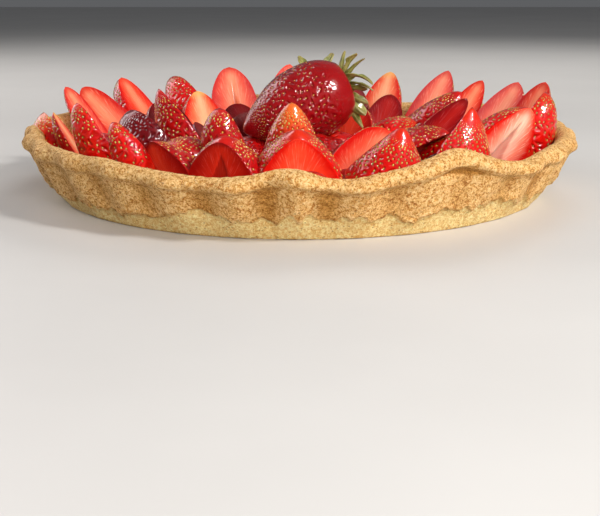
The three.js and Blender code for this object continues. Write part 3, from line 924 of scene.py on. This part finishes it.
def outline_share(berry, point):
    """How near a point inside a berry is to its skin: 0 on its axis and 1 at the skin."""
    share = min(0.995, max(0.0, point.z / berry.length))
    return min(1.0, math.hypot(point.x, point.y) / berry.radius(share))


# The hollow cores that some halves show: how fast they widen downwards, and their top and depth
# in mm.
SPLITS = {
    "outer_berry_01": (0.34, 20, 0.9),
    "outer_berry_05": (0.22, 28, 2.2),
    "outer_berry_14": (0.10, 31, 2.5),
}


def finished_berry(name, berry):
    """A berry's bmesh with all that its skin and flesh finishes read."""
    mesh = berry_mesh(berry)
    split = mesh.verts.layers.float.new("split")
    rest = mesh.verts.layers.float_vector["rest"]
    outline = mesh.verts.layers.float.new("outline")
    fan = mesh.verts.layers.float.new("fan")
    height = mesh.verts.layers.float.new("height")
    for vert in mesh.verts:
        spot = vert[rest]
        vert[height] = spot.z / berry.length
        vert[outline] = outline_share(berry, spot)
        vert[fan] = math.atan2(spot.x, spot.z - 0.2 * berry.length)
        if name in SPLITS and berry.on_cut(spot):
            slope, top, depth = SPLITS[name]
            half = min(4.0, slope * (top - (spot.z - SUNK) / MM)) * MM
            vert[split] = smoothstep(half - abs(spot.x), -0.4 * MM, 0.8 * MM)
            inwards = berry.place.to_3x3() @ berry.knives[0][1]
            vert.co += inwards * vert[split] * depth * MM
    return mesh


def make_berry(name, berry, skin, flesh):
    """The finished piece of a berry, in its node's place."""
    piece = new_piece(f"{name}_fruit", finished_berry(name, berry), SKINS[skin], FLESHES[flesh])
    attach(piece, "root")
    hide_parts(name)


all_berries = []
RINGS = {"outer": OUTER_RING, "middle": MIDDLE_RING, "inner": INNER_RING}
for ring_name, ring_rows in RINGS.items():
    for number, row in enumerate(ring_rows, 1):
        azimuth, foot, lean, side, turn, length, width, blunt, cut, skin, flesh = row
        place = (
            Matrix.Rotation(math.radians(azimuth), 4, "Z")
            @ Matrix.Translation((0, -foot * MM, BED_TOP - SUNK))
            @ attitude(lean, side, turn)
        )
        berry = Berry(len(all_berries), length * MM + SUNK, width * MM, blunt, cut, place)
        name = f"{ring_name}_berry_{number:02d}"
        all_berries.append((name, berry, skin))
        make_berry(name, berry, skin, flesh)

# ---------------------------------------------------------------------------------------------
# Chopped strawberries. Small halves that lie sunk in the jelly between the standing ones, joined in
# one piece: their number, places and turns are loose, and the standing berries leave them gaps.
# ---------------------------------------------------------------------------------------------

CHOPPED_COUNT = 190
CHOPPED_REACH = 101 * MM
CHOPPED_LEVEL = BED_TOP + 4.5 * MM
CHOPPED_FINENESS = (28, 18)
FIRST_CHOPPED = 100  # their lumps are numbered from here, past the standing berries'
GOLDEN_ANGLE = math.pi * (3 - math.sqrt(5))
random.seed(3)


def join(whole, part):
    """Adds a bmesh to another that has the same layers, and lets it go."""
    joined = bpy.data.meshes.new("joined")
    part.to_mesh(joined)
    part.free()
    whole.from_mesh(joined)
    bpy.data.meshes.remove(joined)


chopped_mesh = bmesh.new()
chopped_mesh.loops.layers.uv.new("seed_lattice")
chopped_mesh.verts.layers.float_vector.new("rest")
for layer_name in ("seeded", "split", "outline", "fan", "height"):
    chopped_mesh.verts.layers.float.new(layer_name)
for i in range(CHOPPED_COUNT):
    reach = CHOPPED_REACH * math.sqrt((i + 0.5) / CHOPPED_COUNT)
    heading = i * GOLDEN_ANGLE
    spot = Vector((reach * math.cos(heading), reach * math.sin(heading), CHOPPED_LEVEL))
    length = random.uniform(17, 23) * MM
    width = random.uniform(15, 19) * MM
    roll = random.choice((90, 90, -90)) + random.uniform(-28, 28)
    place = (
        Matrix.Translation(spot)
        @ Matrix.Rotation(random.uniform(0, math.tau), 4, "Z")
        @ Matrix.Rotation(math.radians(90 + random.uniform(-16, 16)), 4, "X")
        @ Matrix.Rotation(math.radians(roll - 90), 4, "Z")
        @ Matrix.Translation((0, 0, -length / 2))
    )
    blunt = random.uniform(0.2, 0.6)
    berry = Berry(FIRST_CHOPPED + i, length, width, blunt, "half", place, CHOPPED_FINENESS)
    # One that would run into a standing berry is left out.
    probes = [
        berry.surface(turn * math.tau / 8, share)
        for turn, share in itertools.product(range(8), (0.1, 0.5, 0.85))
    ]
    probes = [place @ probe for probe in probes if berry.kept(probe)]
    probes = [probe for probe in probes if probe.z > BED_TOP + 3 * MM]
    if any(other.contains(probe, 1 * MM) for _, other, _ in all_berries for probe in probes):
        continue
    join(chopped_mesh, finished_berry("chopped", berry))
chopped = new_piece("chopped_berries", chopped_mesh, SKINS["ripe"], FLESHES["deep"])
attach(chopped, "root")

# ---------------------------------------------------------------------------------------------
# Whole strawberries. Two large uncut berries lie on the others in the middle, glazed like them:
# one in front, tip down to the left, and one behind it that stands almost on its tip.
# ---------------------------------------------------------------------------------------------

WHOLES = {
    "whole_berry_front": ((-3.6, -7.1, 37.2), -68, -20, 54, 36, "glazed"),
    "whole_berry_back": ((10, 27, 32), 165, -66, 38, 31, "bright"),
}
whole_places = {}
for name, (middle, azimuth, rise, length, width, skin) in WHOLES.items():
    place = (
        Matrix.Translation(Vector(middle) * MM)
        @ Matrix.Rotation(math.radians(azimuth), 4, "Z")
        @ Matrix.Rotation(math.radians(90 - rise), 4, "X")
        @ Matrix.Translation((0, 0, -length * MM / 2))
    )
    berry = Berry(len(all_berries), length * MM, width * MM, 0, "whole", place)
    all_berries.append((name, berry, skin))
    whole_places[name] = place
    make_berry(name, berry, skin, "red")

# ---------------------------------------------------------------------------------------------
# Seeds. The small hard pips in the skins' hollows: golden on most berries, green on the brightest.
# They are joined in one piece. Only those that can be seen are made, and the dark berries, whose
# skin is partly painted shade, show none.
# ---------------------------------------------------------------------------------------------

SEED_LENGTH, SEED_WIDTH, SEED_HEIGHT = 1.2 * MM, 0.75 * MM, 0.5 * MM
SEED_LEVEL = BED_TOP + 3 * MM  # below this the jelly hides them
SEED_SIZE, FRONT_SEED_SIZE = 0.9, 0.72
SEED_TINTS = {"bright": 0.8, "ripe": 0.4, "glazed": 0.2, "gold_tip": 0.5}
NEIGHBOUR_DISTANCE = 70 * MM  # a berry whose foot is farther off than this can't cover a seed
random.seed(7)

pip = bmesh.new()
bmesh.ops.create_uvsphere(pip, u_segments=6, v_segments=4, radius=0.5)
for vert in pip.verts:
    # One end is drawn out to a point, as a pip's is.
    along, across = vert.co.z, 1 - 0.9 * max(0.0, vert.co.z)
    vert.co = Vector((vert.co.x * SEED_WIDTH * across, along * SEED_LENGTH, vert.co.y * SEED_HEIGHT))
bmesh.ops.recalc_face_normals(pip, faces=pip.faces)
pip_mesh = bpy.data.meshes.new("pip")
pip.to_mesh(pip_mesh)
pip.free()

seeds_mesh = bmesh.new()
seeds_mesh.verts.layers.float.new("tint")
for name, berry, skin in all_berries:
    if skin == "dark":
        continue
    near = [
        other
        for _, other, _ in all_berries
        if other is not berry
        and (other.place.translation - berry.place.translation).length < NEIGHBOUR_DISTANCE
    ]
    size = FRONT_SEED_SIZE if name == "whole_berry_front" else SEED_SIZE
    own_seeds = bmesh.new()
    tint_layer = own_seeds.verts.layers.float.new("tint")
    for row, column in itertools.product(range(1, len(berry.rows)), range(berry.columns)):
        # The place where the straying lattice has this row and column.
        aim = (column - 0.5 * (row % 2), row)
        at = aim
        for _ in range(3):
            stray = berry.wander(*at)
            at = (aim[0] - stray[0], aim[1] - stray[1])
        theta = math.tau * at[0] / berry.columns
        share = row_share(berry.rows, at[1])
        grown = berry.seeded(share)
        if grown < 0.25:
            continue
        spot = berry.surface(theta, share)
        if not berry.kept(spot, -0.35 * MM):
            continue
        here = berry.lumpy(spot)
        world_spot = berry.place @ here
        if world_spot.z < SEED_LEVEL or world_spot.xy.length > room(world_spot.z):
            continue
        if any(other.contains(world_spot, 0.2 * MM) for other in near):
            continue
        # The pip lies along the berry and is sunk a little in its hollow.
        ahead = berry.lumpy(berry.surface(theta, min(0.999, share + 0.01)))
        aside = berry.lumpy(berry.surface(theta + 0.05, share))
        up = (ahead - here).normalized()
        out = (aside - here).cross(up).normalized()
        turn = Matrix((up.cross(out), up, out)).transposed().to_4x4()
        grow = size * (0.45 + 0.55 * grown) * random.uniform(0.85, 1.12)
        sink = Matrix.Translation(here - out * 0.1 * MM)
        start = len(own_seeds.verts)
        own_seeds.from_mesh(pip_mesh)
        own_seeds.verts.ensure_lookup_table()
        matrix = berry.place @ sink @ turn @ Matrix.Scale(grow, 4)
        shade = SEED_TINTS[skin] + random.uniform(-0.25, 0.25)
        for vert in own_seeds.verts[start:]:
            vert.co = matrix @ vert.co
            vert[tint_layer] = shade
    join(seeds_mesh, own_seeds)
bpy.data.meshes.remove(pip_mesh)

seed_finish, seed_shader, seed_tree = new_material(
    "seed_husk", Roughness=0.3, Coat_Weight=1.0, Coat_Roughness=0.05
)
seed_tint = attribute(seed_tree, "tint").outputs["Fac"]
seed_place = object_place(seed_tree)
seed_tone = maths(seed_tree, "MULTIPLY_ADD", grain(seed_tree, seed_place, 900, 2), 0.3, seed_tint)
seed_colour = ramp(
    seed_tree,
    seed_tone,
    [
        (0.2, (0.42, 0.14, 0.02)),
        (0.5, (0.72, 0.42, 0.06)),
        (0.8, (0.58, 0.50, 0.07)),
        (1.0, (0.22, 0.30, 0.04)),
    ],
)
seed_tree.links.new(seed_colour, seed_shader.inputs["Base Color"])
seeds = new_piece("seeds", seeds_mesh, seed_finish)
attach(seeds, "root")

# ---------------------------------------------------------------------------------------------
# Leaf caps. The green crowns of the two whole berries: pointed, folded leaves that grow from the
# stem and curl away from the fruit, with a stub of the stem in their middle.
# ---------------------------------------------------------------------------------------------

# Each leaf's direction round the stem, length, half width, height of its tip above the cap, how
# far it swings round on the way, how much its end widens like a spoon, and how far it is twisted
# onto its edge: degrees and mm.
CAP_LEAVES = {
    "leaf_cap_front": (
        "whole_berry_front",
        0,
        [
            (262, 15.5, 1.1, 6.5, 5, 0, 70),
            (283, 16.0, 1.1, 8.5, 14, 1.6, 75),
            (303, 16.0, 1.2, 10.0, 12, 0, 60),
            (318, 17.5, 2.1, 7.5, 42, 0, 50),
            (342, 17.0, 1.9, 7.0, 28, 0, 50),
            (12, 12.0, 2.4, 6.5, 0, 0, 30),
            (52, 13.0, 2.2, 6.0, 0, 0, -30),
            (80, 16.5, 3.4, 4.5, -6, 0, -62),
            (96, 22.0, 1.9, 2.5, -10, 0, -55),
            (125, 11.0, 2.0, 1.5, 0, 0, -20),
            (165, 8.5, 2.7, 3.5, 8, 0, 0),
            (215, 7.0, 1.8, 3.0, 0, 0, 0),
            (240, 8.0, 1.8, 4.0, 0, 0, 50),
        ],
    ),
    "leaf_cap_back": (
        "whole_berry_back",
        20,
        [
            (10, 10.0, 2.0, 3.0, 0, 0, 0),
            (50, 11.0, 2.0, 4.0, 0, 0, 0),
            (90, 11.0, 2.0, 4.0, 0, 0, 0),
            (135, 11.0, 2.0, 4.0, 0, 0, 0),
            (180, 11.0, 2.0, 4.0, 0, 0, 0),
            (225, 10.0, 2.0, 3.0, 0, 0, 0),
            (263, 14.0, 2.7, 6.0, 0, 0, 0),
            (300, 9.0, 2.0, 2.5, 0, 0, 0),
            (340, 13.5, 2.4, 6.5, 0, 0, 0),
        ],
    ),
}
LEAF_THICKNESS = 0.45 * MM
LEAF_FOOT = 2.0  # mm from the stem's middle, where every leaf begins

leaf_finish, leaf_shader, leaf_tree = new_material(
    "leaf_green",
    Roughness=0.42,
    Subsurface_Weight=0.15,
    Subsurface_Radius=(0.5, 1.0, 0.3),
    Subsurface_Scale=1 * MM,
    Coat_Weight=0.35,
    Coat_Roughness=0.15,
)
leaf_place = object_place(leaf_tree)
leaf_uv = add_node(leaf_tree, "ShaderNodeUVMap", uv_map="leaf_length").outputs["UV"]
leaf_parts = add_node(leaf_tree, "ShaderNodeSeparateXYZ", {0: leaf_uv})
leaf_mottle = grain(leaf_tree, leaf_place, 260, 4)
green = ramp(
    leaf_tree,
    leaf_mottle,
    [(0.3, (0.09, 0.11, 0.018)), (0.5, (0.24, 0.25, 0.05)), (0.72, (0.50, 0.44, 0.15))],
)
across_leaf = maths(leaf_tree, "SUBTRACT", leaf_parts.outputs["X"], 0.5)
off_middle = maths(leaf_tree, "ABSOLUTE", across_leaf)
rib = spread(leaf_tree, off_middle, 0.02, 0.09, 0.7, 0.0)
dry = spread(leaf_tree, leaf_parts.outputs["Y"], 0.7, 1.0, 0.0, 0.6)
ribbed = mix(leaf_tree, rib, green, (0.45, 0.45, 0.16))
dried = mix(leaf_tree, dry, ribbed, (0.36, 0.27, 0.09))
leaf_tree.links.new(dried, leaf_shader.inputs["Base Color"])
veins = add_node(
    leaf_tree, "ShaderNodeTexWave", {"Vector": leaf_uv, "Scale": 6.0, "Distortion": 2.5}
).outputs["Fac"]
leaf_tree.links.new(bump(leaf_tree, veins, 0.3 * MM, 0.5), leaf_shader.inputs["Normal"])

for cap_name, (berry_name, spin, leaves) in CAP_LEAVES.items():
    cap_mesh = bmesh.new()
    leaf_uv_layer = cap_mesh.loops.layers.uv.new("leaf_length")
    random.seed(cap_name)
    for i, (direction, length, half, lift, swing, spoon, twist) in enumerate(leaves):
        made = bmesh.ops.create_grid(cap_mesh, x_segments=8, y_segments=22, size=0.5)["verts"]
        fold = random.uniform(0.3, 0.6)
        plain = {vert: (vert.co.x + 0.5, vert.co.y + 0.5) for vert in made}
        for face in {f for v in made for f in v.link_faces}:
            for loop in face.loops:
                loop[leaf_uv_layer].uv = plain[loop.vert]
        for vert in made:
            across, along = plain[vert]
            across = (across - 0.5) * 2
            # Narrow at the stem, widest past the middle, and a rounded point.
            wide = 0.45 + 0.55 * math.sin(math.pi * min(1.0, 0.1 + along * 0.75))
            wide *= max(0.0, 1 - along**5) ** 0.5
            wide += spoon * 1.3 * math.exp(-(((along - 0.85) / 0.13) ** 2)) * (1 - along**9)
            wide *= 1 + 0.08 * math.sin(along * 22 + 2 * i)
            aside = across * half * wide
            reach = LEAF_FOOT + along * (length - LEAF_FOOT)
            height = 0.6 + lift * along**1.5
            roll = math.radians(twist) * smoothstep(along, 0.05, 0.45)
            cup = fold * abs(aside) + 0.2 * math.sin(along * 7 + i) * aside
            heading = math.radians(direction + swing * along * along)
            spot = Vector((reach, aside * math.cos(roll) - cup * math.sin(roll), height))
            spot.z += aside * math.sin(roll) + cup * math.cos(roll)
            spot *= MM
            vert.co = Matrix.Rotation(heading, 3, "Z") @ spot
    bmesh.ops.recalc_face_normals(cap_mesh, faces=cap_mesh.faces)
    bmesh.ops.solidify(cap_mesh, geom=list(cap_mesh.faces), thickness=LEAF_THICKNESS)
    stem = bmesh.ops.create_cone(
        cap_mesh,
        cap_ends=True,
        segments=16,
        radius1=3.0 * MM,
        radius2=1.3 * MM,
        depth=4.5 * MM,
        matrix=Matrix.Translation((0, 0, 2.4 * MM)),
    )["verts"]
    stem_edges = dict.fromkeys(e for v in stem for e in v.link_edges)
    bmesh.ops.bevel(
        cap_mesh,
        geom=list(stem_edges),
        offset=0.4 * MM,
        segments=2,
        profile=0.5,
        affect="EDGES",
        material=-1,
    )
    cap_place = (
        whole_places[berry_name]
        @ Matrix.Translation((0, 0, -0.2 * MM))
        @ Euler((math.pi, 0, math.radians(spin))).to_matrix().to_4x4()
    )
    bmesh.ops.transform(cap_mesh, matrix=cap_place, verts=cap_mesh.verts)
    cap = new_piece(f"{cap_name}_leaves", cap_mesh, leaf_finish)
    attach(cap, "root")
    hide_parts(cap_name)
